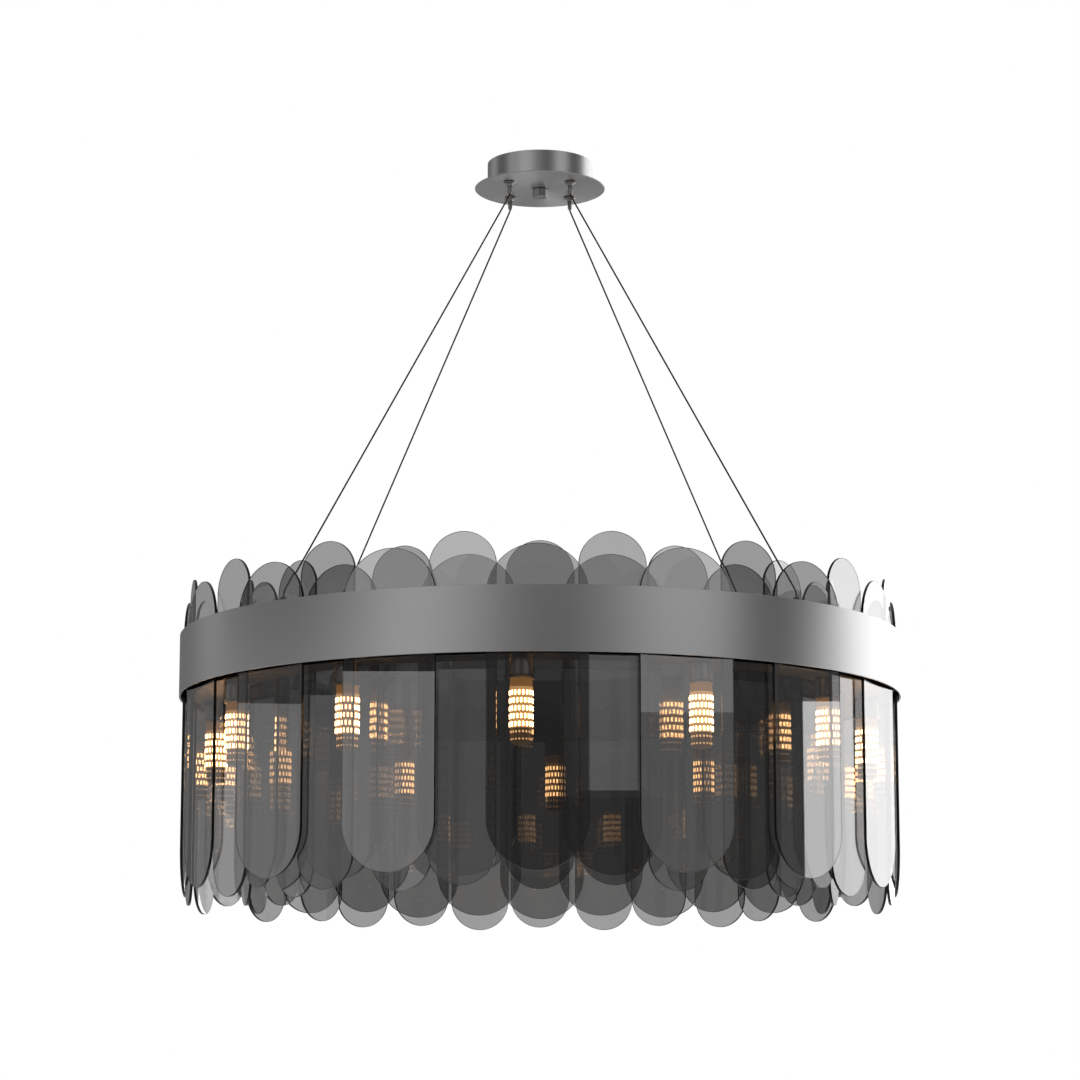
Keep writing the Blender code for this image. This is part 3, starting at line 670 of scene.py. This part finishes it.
class CHANDELIER_OT_bulbs(bpy.types.Operator):
    """Model the twelve LED bulbs with their rows of chips"""
    bl_idname = "chandelier.bulbs"
    bl_label = "LED Bulbs"

    def execute(self, context):
        bulbs = context.scene.chandelier_bulbs
        light = tuple(bulbs.light)
        dark, pale = (0.30, 0.18, 0.07), (0.95, 0.9, 0.75)
        # The neck, board and tip cap are no lamps: their glow is painted light. Only the chips are
        # lamps.
        finishes = (painted_metal("bulb_collar_metal", (0.55, 0.42, 0.30), 0.25, 0.38, 0.9),
                    glowing("neck_painted_glow", (1.0, 0.45, 0.11), bulbs.neck_glow, dark),
                    glowing("board_painted_glow", light, bulbs.board_glow, dark),
                    glowing("bulb_tip_plastic", light, bulbs.cap_glow, (0.25, 0.16, 0.09)),
                    glowing("lit_chip", light, bulbs.glow, pale),
                    glowing("lit_tip_chip", light, bulbs.tip_glow, pale))
        bulb = self.model_bulb(bulbs, *finishes)
        for number, spot in enumerate(LAMP_SPOTS, start=1):
            twin = copy_of(bulb, "led_lamp_%02d" % number, Matrix.Translation(spot))
            ride(twin, "bulb_%02d" % number, "lit_bulb", "led_bulb_%02d" % number)
        discard(bulb)
        return {"FINISHED"}

    def model_bulb(self, bulbs, metal, painted_neck_glow, painted_board_glow, painted_cap_glow, chip_light, tip_light):
        """One bulb with its holder's mouth at z = 0."""
        collar, radius = bulbs.collar_radius, bulbs.radius
        mouth = -PLAY
        neck = mouth - 2.4 * MM
        lip = mouth - 9.6 * MM
        board_top = lip - 1.4 * MM
        tip = mouth - bulbs.length
        last = -bulbs.first_row - bulbs.row_pitch * (bulbs.rows - 1)
        board_end = last - bulbs.chip_height * 0.62
        base = lathe("bulb_base",
                     [(6.9 * MM, 23.9 * MM), (6.9 * MM, mouth), (collar - 0.6 * MM, mouth),
                      (collar, mouth - 0.5 * MM), (collar, neck + 0.5 * MM),
                      (collar - 0.5 * MM, neck), (radius - 1.5 * MM, neck)],
                     BULB_SIDES, 30.0, metal)
        throat = lathe("bulb_neck",
                       [(radius - 0.5 * MM, neck), (radius - 0.5 * MM, lip + 1.2 * MM),
                        (radius + 0.1 * MM, lip + 0.8 * MM), (radius + 0.1 * MM, lip),
                        (radius - 0.4 * MM, board_top), (radius - 2 * MM, board_top)],
                       BULB_SIDES, 30.0, painted_neck_glow)
        board = lathe("bulb_board",
                      [(radius, board_top), (radius, board_end),
                       (radius - 1.1 * MM, board_end - 0.7 * MM)], BULB_SIDES, 40.0, painted_board_glow)
        cap = lathe("bulb_cap",
                    [(radius - 1.4 * MM, board_end), (radius - 1.4 * MM, tip + 2.6 * MM),
                     (radius - 2.6 * MM, tip + 1.2 * MM), (radius * 0.5, tip + 0.3 * MM),
                     (0.0, tip)], BULB_SIDES, 40.0, painted_cap_glow)
        chips = [self.chip_row(bulbs, -bulbs.first_row - bulbs.row_pitch * row, radius,
                               (bulbs.chip_width, bulbs.chip_height), row % 2, chip_light)
                 for row in range(bulbs.rows)]
        for drop, size in ((7.6 * MM, (1.6 * MM, 2.3 * MM)), (15.0 * MM, (1.4 * MM, 1.8 * MM))):
            chips.append(self.chip_row(bulbs, last - drop, radius - 1.5 * MM, size, 0, tip_light))
        return joined([base, throat, board, cap, *chips], "led_lamp")

    def chip_row(self, bulbs, height, radius, size, stagger, finish):
        """A ring of chips round the board. Every other ring is turned by half a chip's place."""
        start_clean()
        bpy.ops.mesh.primitive_cube_add(size=1.0)
        chip = bpy.context.object
        chip.scale = (size[0], 0.9 * MM, size[1])
        freeze(chip)
        round_edges(chip, 0.25 * MM, 1, 30.0)
        ring = []
        for column in range(bulbs.columns):
            turn = math.tau * (column + 0.5 * (1 - stagger)) / bulbs.columns
            ring.append(copy_of(chip, "chip", facing_out(turn, radius, height)))
        discard(chip)
        return finish_piece(joined(ring, "chip_row"), finish)


class CHANDELIER_OT_glass(bpy.types.Operator):
    """Model both rings of flat glass panes and the clear pads that hold them"""
    bl_idname = "chandelier.glass"
    bl_label = "Glass Rings"

    def execute(self, context):
        glass = context.scene.chandelier_glass
        faces, edges = smoked_glass(glass), dark_edge()
        centre = BAND_HIGH.z - glass.below_band
        wide = self.model_pane(glass.wide_width, glass.wide_length, glass, faces, edges)
        narrow = self.model_pane(glass.narrow_width, glass.narrow_length, glass, faces, edges)
        pad_level = (BAND_LOW.z + BAND_HIGH.z) / 2
        pads = clear_pad()
        channel_outer = CHANNEL_HIGH.x
        channel_inner = channel_outer - context.scene.chandelier_channel.width
        rings = (
            ("outer", glass.outer_count, glass.outer_wide_radius, glass.outer_narrow_radius,
             glass.outer_turn, 0, channel_outer),
            ("inner", glass.inner_count, glass.inner_wide_radius, glass.inner_narrow_radius,
             glass.inner_turn, 1, channel_inner),
        )
        for ring, panes, wide_radius, narrow_radius, turn, phase, seat in rings:
            nodes = sorted(name for name in FRAME["nodes"] if name.startswith(ring + "_glass_"))
            share = math.ceil(panes / len(nodes))
            for index in range(panes):
                source, radius = (narrow, narrow_radius) if index % 2 else (wide, wide_radius)
                bearing = turn + math.tau * (index + phase) / panes
                pane = copy_of(source, "%s_pane_%02d" % (ring, index + 1),
                               facing_out(bearing, radius, centre))
                ride(pane, HANGING, "smoked_glass", nodes[index // share])
                self.add_pad(glass, pads, ring, index, bearing, radius, seat, pad_level)
        for source in (wide, narrow):
            discard(source)
        return {"FINISHED"}

    def model_pane(self, width, tall, glass, faces, edges):
        """A pane with round ends: a circle in the XZ plane, pulled apart and made thick."""
        start_clean()
        bpy.ops.mesh.primitive_circle_add(vertices=PANE_SIDES, radius=width / 2, fill_type="NGON",
                                          rotation=(math.radians(90), 0.0, 0.0))
        pane = bpy.context.object
        freeze(pane)
        edit(pane)
        bpy.ops.transform.rotate(value=math.pi / PANE_SIDES, orient_axis="Y",
                                 center_override=(0.0, 0.0, 0.0))
        pull_apart(pane, 2, (tall - width) / 2)
        bpy.ops.mesh.select_all(action="SELECT")
        bpy.ops.mesh.extrude_region_move(
            TRANSFORM_OT_translate={"value": (0.0, glass.thickness, 0.0)})
        bpy.ops.mesh.select_all(action="SELECT")
        bpy.ops.transform.translate(value=(0.0, -glass.thickness / 2, 0.0))
        bpy.ops.mesh.normals_make_consistent(inside=False)
        leave_edit()
        round_edges(pane, glass.arris, 2, 50.0)
        smooth(pane, 15.0)
        finish_piece(pane, faces, edges)
        for face in pane.data.polygons:
            face.material_index = int(abs(face.normal.y) < 0.97)
        return pane

    def add_pad(self, glass, finish, ring, index, bearing, radius, seat, level):
        """A short clear pad between the channel wall and the back of a pane."""
        half = glass.thickness / 2
        near = radius + half if radius < seat else seat + 0.2 * MM
        far = seat - 0.9 * MM if radius < seat else radius - half
        start_clean()
        bpy.ops.mesh.primitive_cylinder_add(vertices=24, radius=glass.pad_radius,
                                            depth=far - near - 0.1 * MM,
                                            rotation=(math.radians(90), 0.0, 0.0))
        pad = bpy.context.object
        pad.name = "%s_pad_%02d" % (ring, index + 1)
        freeze(pad)
        round_edges(pad, 0.25 * MM, 1, 40.0)
        smooth(pad, 40.0)
        placed(finish_piece(pad, finish), facing_out(bearing, (near + far) / 2, level))
        ride(pad, HANGING, "smoked_glass")


class CHANDELIER_OT_canopy(bpy.types.Operator):
    """Model the ceiling cup, the round plate and the cap nut"""
    bl_idname = "chandelier.canopy"
    bl_label = "Canopy"

    def execute(self, context):
        canopy = context.scene.chandelier_canopy
        base, satin = tuple(canopy.metal), canopy.satin
        brushed = brushed_metal("brushed_steel", base, satin - 0.06, satin + 0.08, 0.14,
                                grainy=0.55)
        turned_face = brushed_metal("turned_plate_steel", base, satin, satin + 0.1, 0.1, grainy=0.9)
        nut_metal = brushed_metal("turned_steel", tuple(canopy.nut_metal), satin - 0.1, satin, 0.18,
                                  lines=3500.0, grainy=0.8)
        profile = strip(CUP_HIGH.x, CUP_HIGH.x - canopy.wall, CUP_LOW.z, CUP_HIGH.z)
        cup = lathe("ceiling_cup", profile, CUP_SIDES, 15.0, brushed, canopy.edge * 0.8)
        ride(cup, HANGING, "brushed_steel", "canopy_cup")
        rim, chamfer = PLATE_HIGH.x, (PLATE_HIGH.z - PLATE_LOW.z) * 0.35
        plate = lathe("ceiling_plate",
                      [(rim - 0.7 * MM, PLATE_HIGH.z), (rim, PLATE_HIGH.z - chamfer),
                       (rim, PLATE_LOW.z + chamfer), (rim - 0.7 * MM, PLATE_LOW.z),
                       (40 * MM, PLATE_LOW.z), (20 * MM, PLATE_LOW.z), (4.3 * MM, PLATE_LOW.z),
                       (4.3 * MM, PLATE_HIGH.z), (rim - 0.7 * MM, PLATE_HIGH.z)],
                      CUP_SIDES, 15.0, turned_face)
        ride(plate, HANGING, "brushed_steel", "canopy_plate")
        wide, low, high = NUT_HIGH.x, NUT_LOW.z, NUT_HIGH.z
        nut = lathe("turned_cap_nut",
                    [(4.3 * MM, high), (wide - 0.3 * MM, high), (wide, high - 0.3 * MM),
                     (wide, low + 0.4 * MM), (wide - 0.4 * MM, low + 0.1 * MM),
                     (wide - 1.2 * MM, low), (2.4 * MM, low), (1.6 * MM, low + 0.7 * MM)],
                    NUT_SIDES, 20.0, nut_metal)
        ride(nut, "cap_nut", "brushed_steel", "cap_nut")
        return {"FINISHED"}


class CHANDELIER_OT_ceiling_fittings(bpy.types.Operator):
    """Model the hidden ceiling bracket and the terminal block"""
    bl_idname = "chandelier.ceiling_fittings"
    bl_label = "Ceiling Fittings"

    def execute(self, context):
        low, high = node_box("ceiling_bracket")
        zinc = painted_metal("zinc_plated_steel", (0.46, 0.46, 0.44), 0.32, 0.46, 1.0, 90.0)
        bar = block("bracket_bar", (low.x, low.y, high.z - 2 * MM), (high.x, high.y, high.z))
        for side in (-1, 1):
            start_clean()
            bpy.ops.mesh.primitive_cylinder_add(vertices=32, radius=2.5 * MM, depth=8 * MM)
            slot = bpy.context.object
            edit(slot)
            pull_apart(slot, 0, 3.5 * MM)
            leave_edit()
            slot.location = (side * 35 * MM, 0.0, high.z - 1 * MM)
            carved(bar, freeze(slot))
        round_edges(bar, 0.25 * MM, 1, 50.0)
        stud = turned("bracket_stud", [(4 * MM, high.z - 2.2 * MM), (4 * MM, low.z + 0.6 * MM),
                                       (3.4 * MM, low.z)], 32)
        piece = joined([smooth(bar, 30.0), smooth(stud, 30.0)], "bracket_with_stud")
        finish_piece(piece, zinc)
        ride(piece, HANGING, "dark_steel", "ceiling_bracket")
        self.add_terminal_block()
        return {"FINISHED"}

    def add_terminal_block(self):
        low, high = node_box("terminal_block")
        body = block("terminal_body", low, high)
        middle = (low + high) / 2
        for column in (-1, 0, 1):
            for row in (-1, 1):
                start_clean()
                bpy.ops.mesh.primitive_cylinder_add(
                    vertices=24, radius=1.9 * MM, depth=6 * MM,
                    location=(middle.x + column * 9 * MM, middle.y + row * 4 * MM, low.z))
                carved(body, bpy.context.object)
        round_edges(body, 0.5 * MM, 2, 60.0)
        plastic = painted_metal("terminal_plastic", (0.78, 0.78, 0.75), 0.4, 0.55, 0.0)
        finish_piece(smooth(body, 30.0), plastic)
        ride(body, HANGING, "white_plastic", "terminal_block")


class CHANDELIER_OT_suspension(bpy.types.Operator):
    """Model the four wire cables with their grips, release nozzles and anchors"""
    bl_idname = "chandelier.suspension"
    bl_label = "Cables and Grips"

    def execute(self, context):
        cables = context.scene.chandelier_cables
        wire = stranded_wire(cables)
        grip_metal = painted_metal("grip_nickel", tuple(cables.grip_metal), 0.18, 0.3, 1.0, 300.0)
        anchor_metal = painted_metal("anchor_steel", (0.12, 0.10, 0.09), 0.28, 0.4, 0.9, 300.0)
        turns = (cables.turn, math.pi - cables.turn, math.pi + cables.turn, -cables.turn)
        for side, turn in zip(SIDES, turns):
            spot = around(turn, cables.grip_circle)
            self.add_grip(side, spot, grip_metal)
            self.add_cable(cables, side, turn, wire, anchor_metal)
        return {"FINISHED"}

    def add_grip(self, side, spot, metal):
        low, high = node_box("grip_" + side)
        top, inside = PLATE_LOW.z - PLAY, PLATE_HIGH.z + PLAY
        wide, bore, pocket = (high.x - low.x) / 2, 1.2 * MM, 5.6 * MM
        place = Matrix.Translation((spot.x, spot.y, 0.0))
        grip = lathe("cable_grip_" + side,
                     [(bore, high.z), (5.0 * MM, high.z), (5.5 * MM, high.z - 0.5 * MM),
                      (5.5 * MM, inside), (3.5 * MM, inside), (3.5 * MM, top),
                      (wide - 0.3 * MM, top), (wide, top - 0.35 * MM), (wide, top - 1.2 * MM),
                      (wide - 0.4 * MM, top - 1.6 * MM), (4.6 * MM, top - 2.0 * MM),
                      (3.6 * MM, top - 2.6 * MM), (3.1 * MM, top - 3.4 * MM),
                      (2.95 * MM, top - 4.6 * MM), (2.95 * MM, low.z), (2.5 * MM, low.z),
                      (2.5 * MM, low.z + pocket), (bore, low.z + pocket), (bore, high.z)],
                     FITTING_SIDES, 32.0, metal)
        ride(placed(grip, place), HANGING, "brushed_steel", "grip_" + side)
        low, high = node_box("release_nozzle_" + side)
        wide = (high.x - low.x) / 2
        nozzle = lathe("grip_nozzle_" + side,
                       [(bore, high.z), (wide, high.z), (wide, low.z + 1.2 * MM),
                        (wide - 0.15 * MM, low.z + 0.4 * MM), (wide - 0.4 * MM, low.z),
                        (bore, low.z), (bore, high.z)], FITTING_SIDES, 32.0, metal)
        ride(placed(nozzle, place), "nozzle_" + side, "brushed_steel", "release_nozzle_" + side)

    def add_cable(self, cables, side, turn, wire, anchor_metal):
        nozzle_low, _ = node_box("release_nozzle_" + side)
        circle = LAMP_SPOTS[0].xy.length + cables.anchor_from_lamps
        deck, nut_top = COVER_HIGH.z + PLAY, COVER_LOW.z - PLAY
        ferrule_top = deck + 9 * MM
        runs = (cables.exit_run, cables.bend_run)
        corners = [around(turn, cables.grip_circle, PLATE_HIGH.z + 4 * MM + cables.spare),
                   around(turn, cables.grip_circle, nozzle_low.z - runs[0]),
                   around(turn, circle, ferrule_top + runs[1]),
                   around(turn, circle, ferrule_top - 0.8 * MM)]
        points = [corners[0]]
        for before, corner, after, run in zip(corners, corners[1:], corners[2:], runs):
            start = corner + (before - corner).normalized() * run
            end = corner + (after - corner).normalized() * run
            for step in range(BEND_STEPS + 1):
                share = step / BEND_STEPS
                points.append(start.lerp(corner, share).lerp(corner.lerp(end, share), share))
        points.append(corners[-1])
        cable = self.tube("wire_cable_" + side, points, cables.radius, 10)
        finish_piece(smooth(cable, 60.0), wire)
        anchor = lathe("cable_anchor_" + side,
                       [(3.0 * MM, ferrule_top), (3.5 * MM, ferrule_top - 0.5 * MM),
                        (3.5 * MM, deck + 3.2 * MM), (3.1 * MM, deck + 2.8 * MM),
                        (3.1 * MM, deck + 2.2 * MM), (3.5 * MM, deck + 1.8 * MM),
                        (3.5 * MM, deck), (2.5 * MM, deck), (2.5 * MM, nut_top),
                        (4.5 * MM, nut_top), (4.5 * MM, nut_top - 2.6 * MM),
                        (4.1 * MM, nut_top - 3.0 * MM)], FITTING_SIDES, 32.0, anchor_metal)
        placed(anchor, Matrix.Translation(around(turn, circle)))
        ride(cable, HANGING, "cable_steel", "cable_" + side)
        ride(anchor, HANGING, "cable_steel", "cable_" + side)

    def tube(self, name, points, radius, sides):
        """A round tube along a path, with a UV map whose V is metres along the wire."""
        mesh = bpy.data.meshes.new(name)
        form = bmesh.new()
        layer = form.loops.layers.uv.new("along")
        rings, lengths, travelled = [], [], 0.0
        across = (points[-1] - points[0]).cross(Vector((0.0, 0.0, 1.0))).normalized()
        for index, point in enumerate(points):
            before, after = points[max(0, index - 1)], points[min(len(points) - 1, index + 1)]
            along = (after - before).normalized()
            up = along.cross(across).normalized()
            travelled += (point - before).length
            lengths.append(travelled)
            turns = [math.tau * step / sides for step in range(sides)]
            rings.append([form.verts.new(point + (across * math.cos(turn) + up * math.sin(turn))
                                         * radius) for turn in turns])
        for index in range(len(rings) - 1):
            for step in range(sides):
                other = (step + 1) % sides
                face = form.faces.new((rings[index][step], rings[index][other],
                                       rings[index + 1][other], rings[index + 1][step]))
                spots = ((step, index), (step + 1, index), (step + 1, index + 1), (step, index + 1))
                for loop, (column, row) in zip(face.loops, spots):
                    loop[layer].uv = (column / sides, lengths[row])
        form.faces.new(rings[0])
        form.faces.new(rings[-1])
        bmesh.ops.recalc_face_normals(form, faces=form.faces)
        form.to_mesh(mesh)
        form.free()
        piece = bpy.data.objects.new(name, mesh)
        bpy.context.scene.collection.objects.link(piece)
        return piece


class CHANDELIER_OT_stage(bpy.types.Operator):
    """Set the camera, the pale floor, the white surround and the soft lights"""
    bl_idname = "chandelier.stage"
    bl_label = "Stage"

    def execute(self, context):
        scene = context.scene
        stage = scene.chandelier_stage
        scene.view_settings.view_transform = "Standard"
        scene.cycles.max_bounces = 32
        scene.cycles.min_light_bounces = 16
        scene.cycles.transmission_bounces = 32
        scene.cycles.glossy_bounces = 12
        scene.cycles.transparent_max_bounces = 32
        start_clean()
        bpy.ops.object.camera_add(location=(0.0, -stage.distance, -stage.drop),
                                  rotation=(math.radians(90) + stage.pitch, 0.0, 0.0))
        camera = context.object
        camera.name = "photo_camera"
        camera.data.lens = stage.lens
        camera.data.sensor_width = 36.0
        camera.data.clip_end = 60.0
        scene.camera = camera
        self.add_floor(stage)
        self.add_world(stage)
        self.add_lights()
        return {"FINISHED"}

    def add_floor(self, stage):
        bpy.ops.mesh.primitive_plane_add(size=stage.floor_size,
                                         location=(0.0, 0.0, -stage.floor_drop))
        floor = bpy.context.object
        floor.name = "pale_floor"
        finish_piece(floor, plain_material("pale_floor", (0.86, 0.86, 0.86), 0.7)[0])

    def add_world(self, stage):
        """White behind the object and through the glass, and a studio in what shines.

        The studio is dark on the camera's side and pale at the back, above and below.
        """
        world = bpy.data.worlds.new("studio")
        bpy.context.scene.world = world
        world.use_nodes = True
        tree = world.node_tree
        _, y, z = split(tree, add_node(tree, "ShaderNodeTexCoord").outputs["Generated"])
        seen = arithmetic(tree, "ADD", self.ramp(tree, y, -0.3, 0.5, stage.dark, stage.rear),
                          self.ramp(tree, z, 0.4, 0.9, 0.0, stage.above))
        shone = arithmetic(tree, "ADD", seen, self.ramp(tree, z, -0.1, -0.6, 0.0, stage.below))
        through = self.ramp(tree, y, -0.5, 0.1, stage.front_through, 1.0)
        path = add_node(tree, "ShaderNodeLightPath").outputs
        glass = add_node(tree, "ShaderNodeMix", {0: path["Is Transmission Ray"], 2: shone,
                                                 3: through}, data_type="FLOAT")
        final = add_node(tree, "ShaderNodeMix", {0: path["Is Camera Ray"], 2: glass.outputs[0],
                                                 3: 1.0}, data_type="FLOAT")
        background = tree.nodes["Background"]
        background.inputs["Color"].default_value = (1.0, 1.0, 1.0, 1.0)
        tree.links.new(final.outputs[0], background.inputs["Strength"])

    def ramp(self, tree, value, start, end, low, high):
        return add_node(tree, "ShaderNodeMapRange",
                        {"Value": value, "From Min": start, "From Max": end,
                         "To Min": low, "To Max": high},
                        interpolation_type="SMOOTHSTEP").outputs["Result"]

    def add_lights(self):
        # name, bearing in degrees, distance, width, low and high edge, level
        soft_boxes = (
            ("right", 43.0, 2.6, 1.45, -0.40, 0.35, 0.95),
            ("right_high", 47.0, 2.6, 1.40, 0.35, 1.05, 0.88),
            ("right_lower", 43.0, 2.6, 1.45, -1.30, -0.40, 0.42),
            ("upper_right", 20.0, 2.6, 0.75, -0.535, 0.35, 0.45),
            ("front", -3.0, 2.6, 0.90, -0.27, 1.00, 0.28),
            ("left", -31.0, 2.6, 1.60, -0.28, 1.00, 0.86),
            ("left_lower", -46.0, 2.6, 1.75, -1.30, -0.33, 0.88),
            ("left_inner", -18.0, 2.6, 0.75, -1.30, -0.33, 0.30),
            ("left_high", -64.0, 2.6, 0.90, 0.25, 1.10, 0.66),
            ("left_step", -68.5, 2.6, 0.45, -1.30, -0.36, 0.38),
            ("left_side", -97.0, 2.6, 2.50, -1.30, -0.36, 0.54),
            ("right_side", 90.7, 2.6, 0.32, -1.30, -0.36, 2.50),
            ("right_upper_rear", 99.5, 2.6, 0.22, -0.30, 0.40, 2.20),
            ("right_rear", 133.0, 2.4, 2.75, -1.20, 0.40, 2.50),
            ("right_rear_high", 136.0, 2.4, 2.30, 0.40, 1.60, 1.80),
            ("left_rear", -119.0, 2.6, 0.64, -0.28, 1.40, 0.60),
        )
        for name, bearing, reach, wide, low, high, level in soft_boxes:
            start_clean()
            turn, middle = math.radians(bearing), (low + high) / 2
            bpy.ops.object.light_add(type="AREA", location=around(turn, reach, middle))
            lamp = bpy.context.object
            lamp.name = name + "_softbox"
            lamp.rotation_euler = (math.radians(90), 0.0, turn)
            lamp.data.shape = "RECTANGLE"
            lamp.data.size = wide
            lamp.data.size_y = high - low
            lamp.data.energy = math.pi * wide * (high - low) * level


class CHANDELIER_PT_panel(bpy.types.Panel):
    """Lists the chandelier's operators and settings"""
    bl_idname = "CHANDELIER_PT_panel"
    bl_label = "Chandelier"
    bl_space_type = "VIEW_3D"
    bl_region_type = "UI"
    bl_category = "Chandelier"

    def draw(self, context):
        layout = self.layout
        for operator in OPERATORS:
            layout.operator(operator.bl_idname)
        for name, kind in SETTINGS.items():
            box = layout.box()
            box.label(text=kind.__doc__)
            settings = getattr(context.scene, name)
            for key in kind.__annotations__:
                box.prop(settings, key)


OPERATORS = (CHANDELIER_OT_stage, CHANDELIER_OT_canopy, CHANDELIER_OT_ceiling_fittings,
             CHANDELIER_OT_suspension, CHANDELIER_OT_band, CHANDELIER_OT_channel,
             CHANDELIER_OT_bulbs, CHANDELIER_OT_glass)


def register():
    for kind in (*SETTINGS.values(), *OPERATORS, CHANDELIER_PT_panel):
        bpy.utils.register_class(kind)
    for name, kind in SETTINGS.items():
        setattr(bpy.types.Scene, name, bpy.props.PointerProperty(type=kind))


def unregister():
    for name in SETTINGS:
        delattr(bpy.types.Scene, name)
    for kind in (CHANDELIER_PT_panel, *reversed(OPERATORS), *SETTINGS.values()):
        bpy.utils.unregister_class(kind)


def main():
    register()
    bpy.ops.chandelier.stage()
    bpy.ops.chandelier.canopy()
    bpy.ops.chandelier.ceiling_fittings()
    bpy.ops.chandelier.suspension()
    bpy.ops.chandelier.band()
    bpy.ops.chandelier.channel()
    bpy.ops.chandelier.bulbs()
    bpy.ops.chandelier.glass()


if __name__ == "__main__":
    main()
